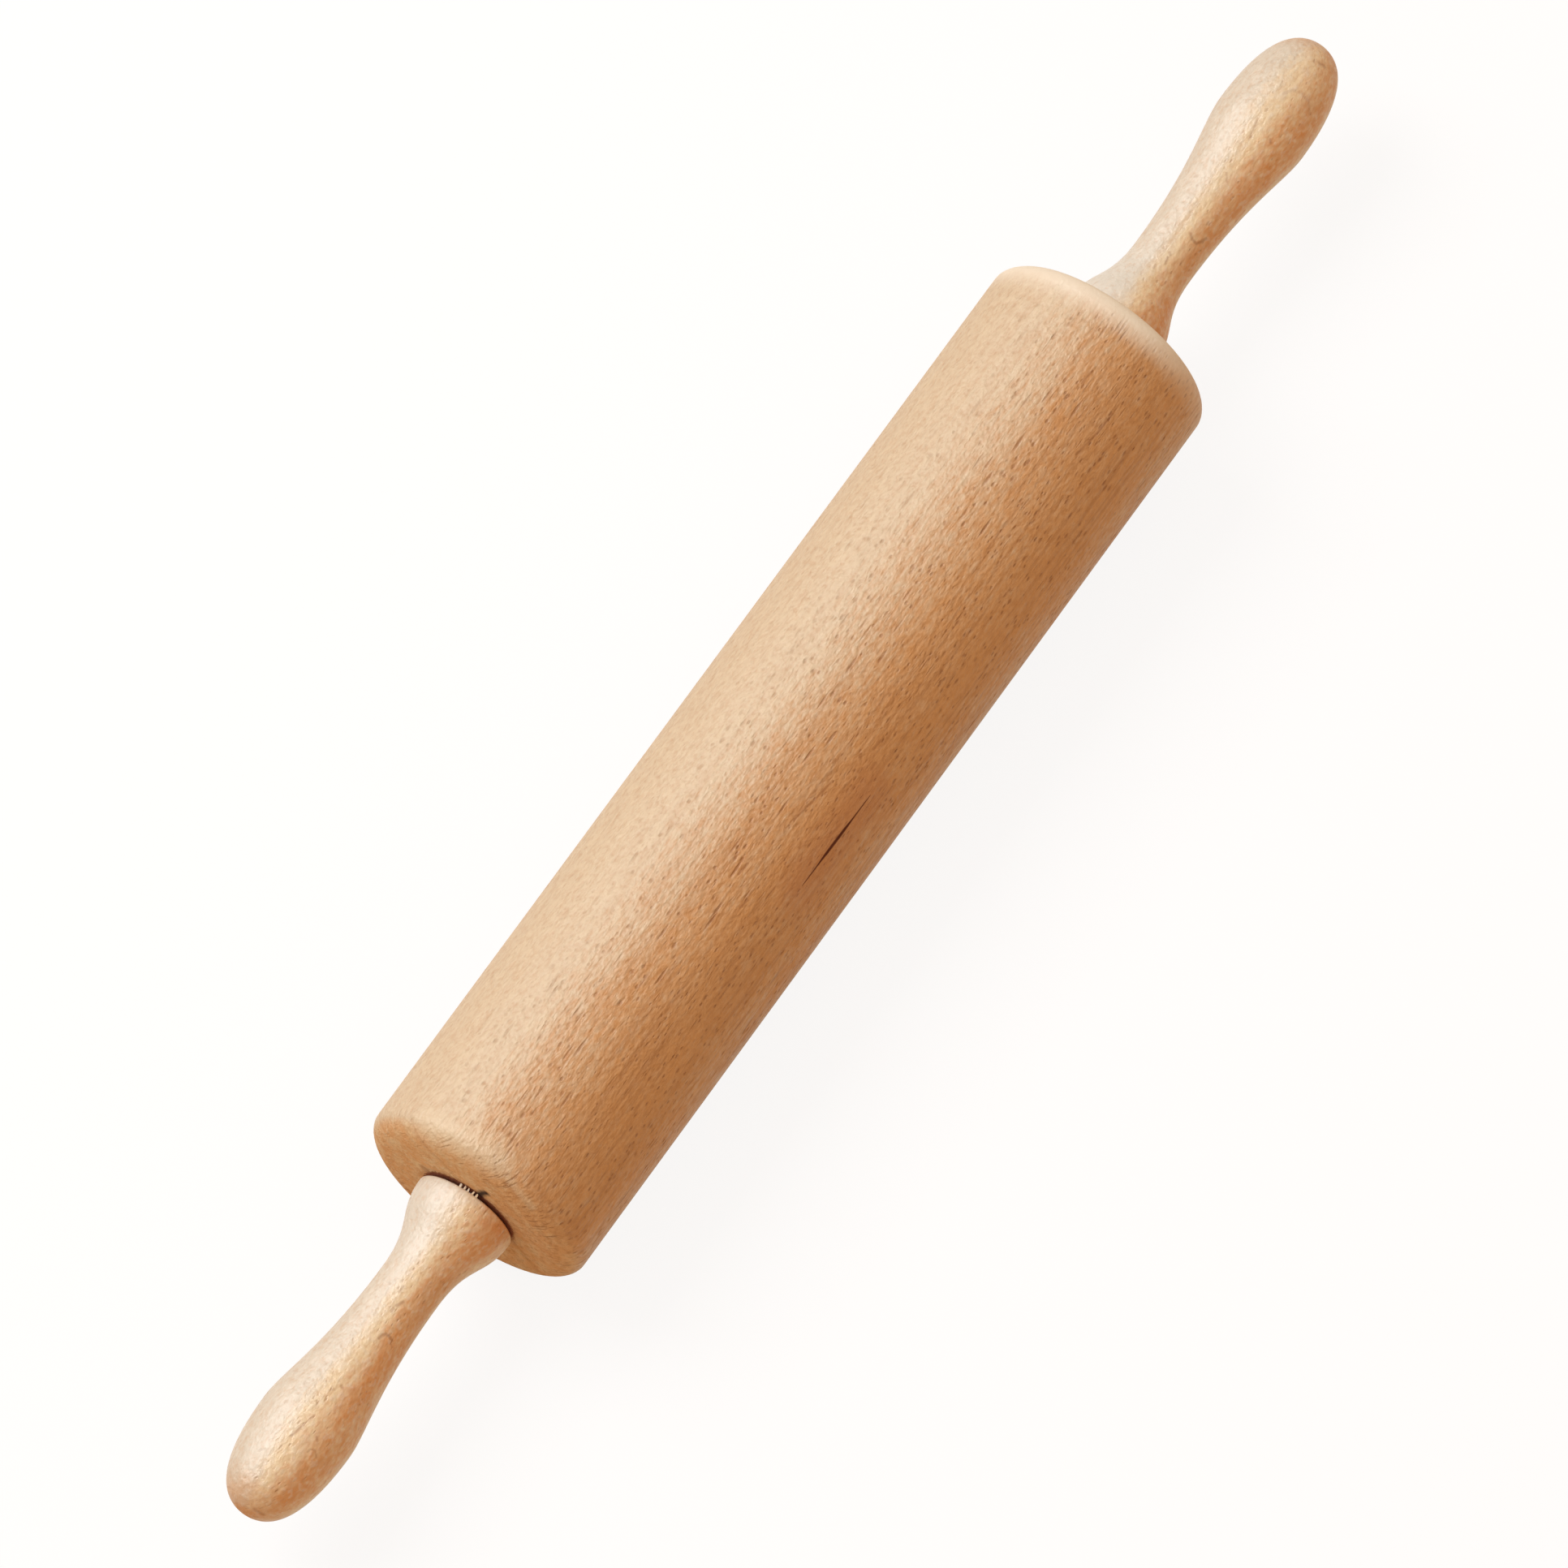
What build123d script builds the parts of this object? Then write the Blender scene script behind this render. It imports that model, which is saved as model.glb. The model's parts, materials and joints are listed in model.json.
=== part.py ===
from build123d import *
import os

# A rolling pin whose wooden barrel turns on a steel rod between two fixed handles.
# Millimetres. +X runs along the spin axis, +Z is up, and the origin is the barrel's centre.
# Every piece of the right end is drawn once, and its left twin is the mirror image.

# Barrel
barrel_diameter = 70.0
barrel_length = 316.0
barrel_end_depth = 6.0         # how far each rounded end reaches along the axis
barrel_end_width = 9.5         # and how far it reaches inwards over the end face
barrel_bore_diameter = 16.0    # lets the retaining rings pass through

# Handles
handle_length = 107.0
handle_base_diameter = 30.4
handle_neck_diameter = 18.8
handle_neck_place = 27.0       # from the base to the thinnest section
handle_bulb_diameter = 28.7
handle_bulb_place = 77.0       # from the base to the thickest section
handle_rim_rounding = 0.8
handle_gap = 1.2               # between the barrel's end face and the handle's base

# Rod
rod_diameter = 8.0
rod_reach = 22.0               # how far the rod runs into each handle
rod_end_chamfer = 0.8
thread_relief_width = 1.6
thread_relief_depth = 0.7
blind_hole_clearance = 0.2     # around the rod, past the insert
blind_hole_room = 3.0          # past the end of the rod

# Ball bearings
bearing_width = 7.0
bearing_recess = 0.5           # the bearing sits this far inside the barrel's end face
ring_wall = 2.05
ring_corner_rounding = 0.3
shoulder_to_ball_circle = 1.45
ball_diameter = 3.969
ball_count = 7
race_clearance = 0.01
race_extra_radius = 0.08       # the raceway is a little rounder than the ball
shield_thickness = 0.3
shield_seat_depth = 0.3        # the shield's face lies this far inside the bearing's face
shield_seat_height = 0.6       # step in the outer ring that the shield rests in
shield_clearance = 0.25        # between the shield and the inner ring
cage_side_clearance = 0.55     # between the cage and either ring's shoulder
cage_pocket_clearance = 0.1
cage_web = 0.4                 # material behind each ball
cage_open_side = 1.3           # from the balls' plane to the open edge of the pockets

# Retaining rings on the rod, one inside each bearing
clip_thickness = 0.8
clip_groove_width = 0.9
clip_groove_depth = 0.2
clip_band = 1.4
clip_offset = 0.2              # the band is thicker opposite its opening
clip_opening = 1.6
clip_ear_radius = 1.2
clip_ear_hole_diameter = 1.2

# Spacer washers, between each inner ring and the handle
washer_wall = 1.9
washer_clearance = 0.1

# Threaded inserts that the rod screws into
insert_wall = 1.5
insert_length = 18.0
insert_flange_width = 1.0
insert_flange_thickness = 1.5
insert_barb_count = 4
insert_barb_depth = 0.4

# How soon each stretch of the handle's outline leaves its direction, as shares of its length
flare_start_share = 0.41
flare_end_share = 0.57
swell_start_share = 0.58
swell_end_share = 0.17
tip_start_share = 0.64
tip_end_share = 0.70
drill_point_share = 0.6        # height of the drill's cone over its radius

# Cuts run this far past the face that they open
overrun = 1.0

# Sizes that follow from the ones above
barrel_radius = barrel_diameter / 2
barrel_half = barrel_length / 2
rod_radius = rod_diameter / 2
ball_radius = ball_diameter / 2
inner_shoulder_radius = rod_radius + ring_wall
ball_circle_radius = inner_shoulder_radius + shoulder_to_ball_circle
outer_shoulder_radius = ball_circle_radius + shoulder_to_ball_circle
bearing_radius = outer_shoulder_radius + ring_wall
race_radius = ball_radius + race_extra_radius
shield_seat_radius = outer_shoulder_radius + shield_seat_height
bearing_place = barrel_half - bearing_recess - bearing_width / 2
handle_place = barrel_half + handle_gap
rod_half = handle_place + rod_reach
insert_radius = rod_radius + insert_wall
flange_radius = insert_radius + insert_flange_width
clip_place = bearing_place - bearing_width / 2 - clip_thickness
clip_groove_radius = rod_radius - clip_groove_depth


def turned(outline):
    """Turn a closed outline of (place along the axis, radius) points about the spin axis."""
    return revolve(make_face(outline), Axis.X)


def sleeve(start, end, inner_radius, outer_radius):
    """A plain ring, or a solid bar where the inner radius is zero."""
    corners = [(start, inner_radius), (end, inner_radius), (end, outer_radius), (start, outer_radius)]
    return turned(Polyline(*corners, close=True))


def cross_section(start, end, inner_radius, outer_radius):
    """The rectangle that a ring shows where it is cut along the axis."""
    middle = Pos((start + end) / 2, (inner_radius + outer_radius) / 2)
    return middle * Rectangle(end - start, outer_radius - inner_radius)


def make_barrel():
    """A turned cylinder with rounded ends, bored through, with a bearing seat at each end."""
    flat_radius = barrel_radius - barrel_end_width
    rounding = (barrel_end_depth, barrel_end_width)
    straight_half = barrel_half - barrel_end_depth
    left_end = EllipticalCenterArc((-straight_half, flat_radius), *rounding, start_angle=90)
    right_end = EllipticalCenterArc((straight_half, flat_radius), *rounding, start_angle=0)
    side = Line((-straight_half, barrel_radius), (straight_half, barrel_radius))
    foot = Polyline((barrel_half, flat_radius), (barrel_half, 0), (-barrel_half, 0), (-barrel_half, flat_radius))
    body = turned(Curve() + [left_end, right_end, side, foot])
    bore_half = barrel_half + overrun
    body -= sleeve(-bore_half, bore_half, 0, barrel_bore_diameter / 2)
    seat_floor = bearing_place - bearing_width / 2
    body -= sleeve(seat_floor, bore_half, 0, bearing_radius)
    body -= sleeve(-bore_half, -seat_floor, 0, bearing_radius)
    return body


def make_handle():
    """A turned grip: a flared base, a narrow neck, a swelling and a round tip, with a stepped blind hole."""
    base, neck, bulb = handle_base_diameter / 2, handle_neck_diameter / 2, handle_bulb_diameter / 2
    rim = handle_rim_rounding
    flare = handle_neck_place - rim
    swell = handle_bulb_place - handle_neck_place
    tip = handle_length - handle_bulb_place
    outline = Curve() + [
        Line((0, 0), (0, base - rim)),
        CenterArc((rim, base - rim), rim, 180, -90),
        Bezier(
            (rim, base),
            (rim + flare_start_share * flare, base),
            (handle_neck_place - flare_end_share * flare, neck),
            (handle_neck_place, neck),
        ),
        Bezier(
            (handle_neck_place, neck),
            (handle_neck_place + swell_start_share * swell, neck),
            (handle_bulb_place - swell_end_share * swell, bulb),
            (handle_bulb_place, bulb),
        ),
        Bezier(
            (handle_bulb_place, bulb),
            (handle_bulb_place + tip_start_share * tip, bulb),
            (handle_length, tip_end_share * bulb),
            (handle_length, 0),
        ),
        Line((handle_length, 0), (0, 0)),
    ]
    body = turned(outline)
    hole_radius = rod_radius + blind_hole_clearance
    hole_depth = rod_reach + blind_hole_room
    point = drill_point_share * hole_radius
    body -= sleeve(-overrun, insert_flange_thickness, 0, flange_radius)
    body -= sleeve(-overrun, insert_length, 0, insert_radius)
    body -= sleeve(-overrun, hole_depth, 0, hole_radius)
    body -= turned(Polyline((hole_depth, 0), (hole_depth, hole_radius), (hole_depth + point, 0), close=True))
    return Pos(handle_place, 0, 0) * body


def make_rod():
    """The steel rod, with a groove for each retaining ring and a relief behind each thread."""
    body = sleeve(-rod_half, rod_half, 0, rod_radius)
    body = chamfer(body.edges().group_by(Axis.X)[0], rod_end_chamfer)
    body = chamfer(body.edges().group_by(Axis.X)[-1], rod_end_chamfer)
    groove_end = clip_place + clip_thickness
    groove = sleeve(groove_end - clip_groove_width, groove_end, clip_groove_radius, rod_radius + overrun)
    relief_radius = rod_radius - thread_relief_depth
    relief_end = handle_place + thread_relief_width
    relief = sleeve(handle_place, relief_end, relief_radius, rod_radius + overrun)
    for cut in (groove, relief):
        body -= cut
        body -= mirror(cut, about=Plane.YZ)
    return body


def make_insert():
    """A flanged brass sleeve with a row of barbs that hold it in the wood."""
    pitch = (insert_length - insert_flange_thickness) / insert_barb_count
    points = [(0, rod_radius), (0, flange_radius), (insert_flange_thickness, flange_radius)]
    for barb in range(insert_barb_count):
        barb_start = insert_flange_thickness + barb * pitch
        points.append((barb_start, insert_radius))
        points.append((barb_start + pitch, insert_radius - insert_barb_depth))
    points.append((insert_length, rod_radius))
    return Pos(handle_place, 0, 0) * turned(Polyline(*points, close=True))


def make_washer():
    """The spacer that keeps the handle clear of the turning barrel."""
    inner_radius = rod_radius + washer_clearance
    return sleeve(bearing_place + bearing_width / 2, handle_place, inner_radius, rod_radius + washer_wall)


def make_clip():
    """A snap ring with two pierced ears beside its opening, seated in the rod's groove."""
    band_radius = rod_radius + clip_band
    ear_side = clip_opening / 2 + clip_ear_radius
    slot_length = band_radius + clip_ear_radius + overrun
    shape = Pos(0, clip_offset) * Circle(band_radius)
    for side in (-1, 1):
        shape += Pos(side * ear_side, -band_radius) * Circle(clip_ear_radius)
    shape -= Circle(clip_groove_radius)
    for side in (-1, 1):
        shape -= Pos(side * ear_side, -band_radius) * Circle(clip_ear_hole_diameter / 2)
    shape -= Pos(0, -slot_length / 2) * Rectangle(clip_opening, slot_length)
    return Pos(clip_place, 0, 0) * extrude(Plane.YZ * shape, clip_thickness)


def make_inner_ring():
    """The bearing's inner ring, with its raceway."""
    half = bearing_width / 2
    section = cross_section(-half, half, rod_radius, inner_shoulder_radius)
    section = fillet(section.vertices(), ring_corner_rounding)
    race_centre = ball_circle_radius - ball_radius - race_clearance + race_radius
    return revolve(section - Pos(0, race_centre) * Circle(race_radius), Axis.X)


def make_outer_ring():
    """The bearing's outer ring, with its raceway and a step at each side for a shield."""
    half = bearing_width / 2
    section = cross_section(-half, half, outer_shoulder_radius, bearing_radius)
    section = fillet(section.vertices().group_by(Axis.Y)[-1], ring_corner_rounding)
    step = shield_seat_depth + shield_thickness
    section -= cross_section(half - step, half + overrun, outer_shoulder_radius - overrun, shield_seat_radius)
    section -= cross_section(-half - overrun, step - half, outer_shoulder_radius - overrun, shield_seat_radius)
    race_centre = ball_circle_radius + ball_radius + race_clearance - race_radius
    return revolve(section - Pos(0, race_centre) * Circle(race_radius), Axis.X)


def make_shield():
    """A thin steel washer that closes one side of the bearing."""
    outer_face = bearing_width / 2 - shield_seat_depth
    inner_radius = inner_shoulder_radius + shield_clearance
    return sleeve(outer_face - shield_thickness, outer_face, inner_radius, shield_seat_radius)


def ball_seat(ball):
    """Where one ball sits on the ball circle, counted round from straight up, with its poles radial."""
    return Rot(X=360 * ball / ball_count) * Pos(0, 0, ball_circle_radius)


def make_cage():
    """A crown cage: a ring between the bearing's rings, with an open pocket for each ball."""
    pocket_radius = ball_radius + cage_pocket_clearance
    inner_radius = inner_shoulder_radius + cage_side_clearance
    outer_radius = outer_shoulder_radius - cage_side_clearance
    body = sleeve(-pocket_radius - cage_web, cage_open_side, inner_radius, outer_radius)
    for ball in range(ball_count):
        body -= ball_seat(ball) * Sphere(pocket_radius)
    return body


def save(name, body):
    """Write one sub-part to its own file."""
    export_step(body, f"parts/{name}.step")


def save_pair(name, body):
    """Write a piece of the right end and its mirror image at the left end."""
    save(f"right_{name}", body)
    save(f"left_{name}", mirror(body, about=Plane.YZ))


os.makedirs("parts", exist_ok=True)
at_bearing = Pos(bearing_place, 0, 0)
shield = make_shield()

save("barrel", make_barrel())
save("axle_rod", make_rod())
save_pair("handle", make_handle())
save_pair("threaded_insert", make_insert())
save_pair("spacer_washer", make_washer())
save_pair("retaining_ring", make_clip())
save_pair("bearing_inner_ring", at_bearing * make_inner_ring())
save_pair("bearing_outer_ring", at_bearing * make_outer_ring())
save_pair("bearing_outer_shield", at_bearing * shield)
save_pair("bearing_inner_shield", at_bearing * mirror(shield, about=Plane.YZ))
save_pair("ball_cage", at_bearing * make_cage())
for ball in range(ball_count):
    save_pair(f"bearing_ball_{ball + 1}", at_bearing * ball_seat(ball) * Sphere(ball_radius))
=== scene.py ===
import json
from collections import namedtuple
from math import asin, atan2, cos, radians, sin, sqrt

import bmesh
import bpy
from mathutils import Matrix, Vector


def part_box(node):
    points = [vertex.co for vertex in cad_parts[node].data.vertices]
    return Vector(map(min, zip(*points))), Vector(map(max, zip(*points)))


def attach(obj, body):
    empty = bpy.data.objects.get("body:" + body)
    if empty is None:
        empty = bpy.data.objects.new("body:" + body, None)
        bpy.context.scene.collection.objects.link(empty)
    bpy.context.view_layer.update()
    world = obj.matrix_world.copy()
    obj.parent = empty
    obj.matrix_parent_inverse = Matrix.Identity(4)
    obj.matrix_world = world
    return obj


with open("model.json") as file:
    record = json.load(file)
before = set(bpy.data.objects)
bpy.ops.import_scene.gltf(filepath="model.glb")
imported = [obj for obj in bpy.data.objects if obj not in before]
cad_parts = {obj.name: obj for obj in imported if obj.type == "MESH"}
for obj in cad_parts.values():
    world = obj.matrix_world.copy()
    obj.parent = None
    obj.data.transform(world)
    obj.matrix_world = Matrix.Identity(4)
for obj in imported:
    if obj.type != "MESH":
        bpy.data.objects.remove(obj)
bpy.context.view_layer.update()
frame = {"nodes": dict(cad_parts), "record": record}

# Blender's places are in metres: +X along the pin from the near (left) handle to the far (right) one, +Z up.
# Sizes in marks and materials are in millimetres.
MM = 0.001

# Camera: a long lens, 19 degrees off square to the pin, which runs up to the right.
IMAGE_SIDE = 1932
TILT = radians(19.0)
SLOPE = radians(53.7)
VIEW_DISTANCE = 5.0
PIXELS_PER_MM = 4.448
PIXEL = MM / PIXELS_PER_MM
BARREL_CENTRE_PIXEL = (975.0, 945.6)
SENSOR_MM = 36.0
CLIP_NEAR, CLIP_FAR = 0.1, 50.0

# A mark is a path of pixels where the photograph shows it, with its half width and its strength.
Mark = namedtuple("Mark", "pixels half_width strength")
NEAR_HANDLE_MARKS = (
    Mark(((467, 1649), (471, 1645), (476, 1644), (480, 1647), (483, 1651)), 0.50, 0.75),
    Mark(((482, 1657), (483, 1660)), 0.35, 0.4),
    Mark(((489, 1609), (497, 1604)), 0.50, 0.7),
    Mark(((482, 1616), (485, 1612)), 0.45, 0.6),
    Mark(((492, 1592), (497, 1585)), 0.35, 0.4),
    Mark(((421, 1708), (422, 1710)), 0.50, 0.65),
    Mark(((409, 1712), (412, 1712)), 0.40, 0.45),
    Mark(((359, 1769), (366, 1763), (378, 1752), (387, 1744)), 0.30, 0.55),
    Mark(((390, 1771), (391, 1775)), 0.45, 0.55),
    Mark(((379, 1789), (383, 1786), (388, 1787), (390, 1796)), 0.35, 0.45),
    Mark(((314, 1860), (324, 1866)), 0.70, 0.55),
)
FAR_HANDLE_MARKS = (
    Mark(((1467, 288), (1469, 295), (1474, 300), (1480, 298), (1486, 294)), 0.55, 0.7),
    Mark(((1441, 311), (1442, 314)), 0.45, 0.5),
    Mark(((1436, 325), (1439, 317)), 0.45, 0.6),
    Mark(((1421, 330), (1424, 326)), 0.40, 0.45),
    Mark(((1539, 172), (1545, 158), (1550, 146)), 0.30, 0.45),
    Mark(((1565, 172), (1566, 176)), 0.50, 0.55),
    Mark(((1511, 213), (1512, 224)), 0.40, 0.45),
    Mark(((1582, 115), (1592, 111), (1604, 115), (1612, 125), (1614, 140)), 0.60, 0.3),
    Mark(((1625, 77), (1632, 82)), 0.60, 0.5),
)
HOOKED_LINE = (
    (660, 1342), (630, 1388), (616, 1405), (610, 1423), (610, 1441), (615, 1453), (630, 1464), (641, 1480),
)
BARREL_MARKS = (
    Mark(HOOKED_LINE, 0.55, 0.18),
    Mark(((641, 1473), (660, 1497), (681, 1520), (697, 1540)), 0.75, 0.16),
    Mark(((653, 1450), (673, 1477), (693, 1507), (705, 1527)), 0.75, 0.16),
    Mark(((522, 1439), (525, 1441)), 1.5, 0.6),
    Mark(((1358, 396), (1319, 450)), 0.30, 0.35),
    Mark(((1346, 457), (1333, 472)), 0.40, 0.6),
    Mark(((1371, 510), (1352, 534), (1326, 560)), 0.40, 0.55),
    Mark(((1089, 908), (1076, 923)), 0.45, 0.6),
    Mark(((1061, 929), (1059, 932)), 0.50, 0.6),
    Mark(((1029, 936), (1026, 940)), 0.50, 0.55),
    Mark(((1062, 947), (1058, 951)), 0.50, 0.55),
    Mark(((1079, 940), (1074, 947)), 0.50, 0.55),
    Mark(((1026, 962), (1012, 977), (996, 992), (978, 1011)), 0.35, 0.6),
    Mark(((921, 1064), (910, 1077)), 0.45, 0.6),
    Mark(((921, 1109), (912, 1118)), 0.45, 0.5),
    Mark(((934, 1132), (931, 1138)), 0.50, 0.55),
    Mark(((945, 1130), (942, 1135)), 0.50, 0.5),
    Mark(((883, 1126), (876, 1135)), 0.40, 0.45),
    Mark(((928, 1170), (925, 1175)), 0.50, 0.55),
    Mark(((906, 1202), (890, 1217)), 0.50, 0.45),
)
# A wide pale band along the lit upper left of the near rim's rounding, a painted highlight, and pale ring lines
# on the near end.
PALE_END_GRAIN_AND_RIM_HIGHLIGHT = (
    Mark(((525, 1388), (575, 1408), (608, 1430)), 5.5, 0.75),
    Mark(((619, 1418), (620, 1445), (634, 1463), (655, 1487)), 1.3, 0.45),
)
SPLIT_ENDS = ((988, 1092), (1073, 979))
SPLIT_DARKEST = ((1008, 1065), (1052, 1007))
BLOT = ((591, 1472), (595, 1470), (599, 1470))
TORN_PIXELS = ((566, 1459), (587, 1474))

# Where the barrel's near end and the near handle's base and end lie along the pin
BARREL_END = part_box("barrel")[0].x / MM
HANDLE_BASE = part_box("left_handle")[1].x / MM
HANDLE_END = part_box("left_handle")[0].x / MM

# Wood colours, linear
# Each wood's pale and tan colours fall on its lit and shaded sides: partly grain, partly painted light and
# shade.
BARREL_PALE = (0.73, 0.61, 0.45)
BARREL_TAN = (0.665, 0.345, 0.138)
BARREL_LATE = (0.52, 0.265, 0.112)
BARREL_LIGHT = (0.80, 0.68, 0.50)
BARREL_END_GRAIN = (0.76, 0.45, 0.215)
BARREL_END_LIGHT = (0.80, 0.58, 0.34)
# Near white: a painted highlight on the barrel's far rim.
RIM_HIGHLIGHT_COLOUR = (0.95, 0.90, 0.79)
# The handles' pale colour carries part of a painted highlight, and their mid colour is a painted highlight
# band.
HANDLE_PALE = (0.735, 0.69, 0.60)
HANDLE_MID = (0.90, 0.75, 0.515)
HANDLE_TAN = (0.72, 0.32, 0.105)
HANDLE_LATE = (0.62, 0.36, 0.17)
HANDLE_LIGHT = (0.84, 0.785, 0.69)
HANDLE_TIP_COLOUR = (0.72, 0.42, 0.21)
# A painted highlight on one side of each handle's flare.
FLARE_HIGHLIGHT_COLOUR = (0.80, 0.81, 0.77)
FLECK_COLOUR = (0.27, 0.085, 0.02)
SPLIT_COLOUR = (0.09, 0.015, 0.004)
STAIN_COLOUR = (0.50, 0.20, 0.08)
# Painted shade in the gap behind the near handle's base.
GAP_SHADE_COLOUR = (0.36, 0.12, 0.055)
BLOT_COLOUR = (0.025, 0.008, 0.002)

# Noises: cells per millimetre along the pin and both ways across it, and how fine and how rough they are
Noise = namedtuple("Noise", "scale detail roughness distortion", defaults=(2.0, 0.5, 0.0))
WAVE = Noise((0.005, 0.03, 0.03), 1.0)
RIPPLE = Noise((0.03, 0.09, 0.09))
PEBBLE = Noise((0.40, 0.62, 0.62), 1.6, 0.55, 0.4)
FLAKES = Noise((0.7, 1.1, 1.1), 1.0)
FIBRE = Noise((0.17, 0.95, 0.95), 2.0, 0.6)
BLOOM = Noise((0.12, 0.22, 0.22), 2.0, 0.6)
DAPPLE = Noise((0.50, 0.66, 0.66), 1.4, 0.55)
STREAKS = Noise((0.022, 0.8, 0.8), 2.0, 0.6)
RAGGED_NOISE = Noise((0.3, 0.12, 0.12))
STAIN_EDGE = Noise((0.3, 0.3, 0.3))
GAP_SHADE_AND_BLOT_EDGE = Noise((0.5, 0.8, 0.8), 2.5, 0.65)
LUMPS = Noise((0.12, 0.16, 0.16), 2.0, 0.6)
CLOUD = Noise((0.2, 0.2, 0.2))
NYLON_CLOUD = Noise((0.4, 0.4, 0.4))
NYLON_SKIN = Noise((4.0, 4.0, 4.0))
# The same along the pin, outwards from the pith and round it
PATCHES = Noise((0.016, 0.12, 0.12), 3.0, 0.55)
RAY_CROWDS = Noise((0.05, 0.1, 0.16), 1.0)
# The same over a ring's number, nothing, and the place along the pin
RING_STRENGTH = Noise((3.7, 1.0, 0.01), 0.0)

# A scatter of rays: millimetres between them along, outwards and round, their size and how many as shares
Rays = namedtuple("Rays", "spacing size presence")

# Looks of the two woods. A range is where a share sets in, and a share says how strongly a change shows.
BARREL_LOOK = {
    # The pith is placed so that the lit side is pale and the shaded side tan.
    "pith": (-54.0, -72.0),
    "seed": 4.1,
    "pale": BARREL_PALE,
    "mid": BARREL_PALE,
    "mid_range": (0.4, 0.6),
    "tan": BARREL_TAN,
    "tan_range": (0.62, 1.05),
    "late": BARREL_LATE,
    "light": BARREL_LIGHT,
    "end": BARREL_END_GRAIN,
    "end_light": BARREL_END_LIGHT,
    "end_range": (0.45, 0.98),
    "ring_width": 4.6,
    "mottle": 0.28,
    "streak": 0.28,
    "rays": (
        Rays((4.6, 6.0, 1.3), 0.26, 0.95),
        Rays((3.2, 5.0, 1.1), 0.25, 0.85),
        Rays((14.0, 11.0, 1.0), 0.26, 0.7),
    ),
    "ray_range": (0.4, 1.0),
    "ray_share": 0.58,
    "roughness": 0.45,
    "specular": 0.18,
    "grain": 0.5,
}
HANDLE_LOOK = {
    # The pith is placed so that the lit side is pale, the middle holds the painted highlight band and the
    # shaded side is tan.
    "pith": (-41.0, -46.0),
    "pale": HANDLE_PALE,
    "mid": HANDLE_MID,
    "mid_range": (0.48, 0.84),
    "tan": HANDLE_TAN,
    "tan_range": (0.80, 1.08),
    "late": HANDLE_LATE,
    "light": HANDLE_LIGHT,
    "end": HANDLE_TAN,
    "end_light": HANDLE_TAN,
    "end_range": (0.93, 1.0),
    "ring_width": 3.0,
    "mottle": 0.28,
    "streak": 0.10,
    "rays": (
        Rays((3.6, 6.0, 1.1), 0.26, 0.4),
        Rays((2.4, 4.0, 1.0), 0.26, 0.4),
    ),
    "ray_range": (0.1, 0.9),
    "ray_share": 0.35,
    "roughness": 0.44,
    "specular": 0.26,
    "grain": 0.3,
}
# Each handle's share of the painted highlight on its flare.
LEFT_HANDLE_LOOK = {**HANDLE_LOOK, "seed": 1.7, "flare_highlight_share": 0.4}
RIGHT_HANDLE_LOOK = {**HANDLE_LOOK, "seed": 8.3, "flare_highlight_share": 0.85}
WOOD_RELIEF = 0.5 * MM
WORKED_RELIEF = 0.01 * MM

# How both woods are built up. The tone runs from 0, cut along a ray, to 1, cut along a ring. The pith is placed
# so that the lit side is cut along a ray and the shaded side along a ring, so the pale to tan split is partly
# grain and partly painted light and shade.
RING_WAVE, RING_RIPPLE = 9.0, 2.2
RAY_WAVE, RAY_RIPPLE = 5.0, 1.2
LATE_WOOD_RISE, LATE_WOOD_FALL = (0.35, 0.97), (1.0, 0.975)
RING_STRENGTH_RANGE = (0.35, 0.75, 0.1, 1.0)
RAY_CROWD_RANGE = (0.35, 0.65, 0.55, 1.35)
RAY_EDGE = (1.0, 0.25)
RAY_CHANCE_SOFTNESS = 0.04
RAY_LEAST_SIZE, RAY_SIZE_SPREAD = 0.7, 0.6
RAY_LEAST_WEIGHT, RAY_WEIGHT_SPREAD = 0.4, 0.6
LEAST_FACING = 0.01
TONE_PATCHES = 0.26
BLOOM_PEBBLE, BLOOM_RANGE, BLOOM_SHARE, BLOOM_TAN_LOSS = 0.7, (0.45, 0.8), 0.45, 0.35
FLAKE_PEBBLE, FLAKE_RANGE, FLAKE_SHARE = 0.5, (0.5, 0.25), 0.2
FIBRE_RANGE, FIBRE_SHARE = (0.47, 0.72), 0.12
LATE_WOOD_SHARES = (0.3, 0.9, 0.08, 0.26)
END_PATCHES, END_LIGHT_RANGE, END_LATE_WOOD_SHARE = 0.6, (0.35, 0.75), 0.5
PALE_RAY_SHARE = 0.1
RELIEF_PEBBLE, RELIEF_FLAKES, RELIEF_LATE_WOOD = 0.8, 0.35, 0.1
RELIEF_RAYS = (0.1, 0.9, 0.15, 0.4)
ROUGH_PEBBLE, ROUGH_RAYS, ROUGH_END = 0.16, 0.12, 0.4
DAPPLE_DARK_RANGE, DAPPLE_LIGHT_RANGE = (0.5, 0.3), (0.52, 0.7)
NOISE_MIDDLE = 0.5
STROKE_FADE = (1.5, 0.1)
LENS_FADE, LENS_LEAST_WIDTH = (1.2, 0.4), 0.02

# The barrel's own changes. Depths are measured from its ends and radii from its axis.
# On the barrel's lower right side, away from the light, dark streaks and dark dapples are stronger and pale
# dapples fewer: partly grain, partly painted shade.
SHADED_SIDE_RANGE = (-14.0, 12.0)
STREAK_RANGE, STREAK_SHARE, STREAK_SHADED_GAIN = (0.48, 0.68), 0.03, 0.22
BARREL_DARKER, BARREL_DARKER_SHADED_GAIN = 0.2, 0.15
BARREL_PALER, BARREL_PALER_SHADED_LOSS = 0.30, 0.24
BARREL_DAPPLE_RELIEF = 0.5
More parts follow.
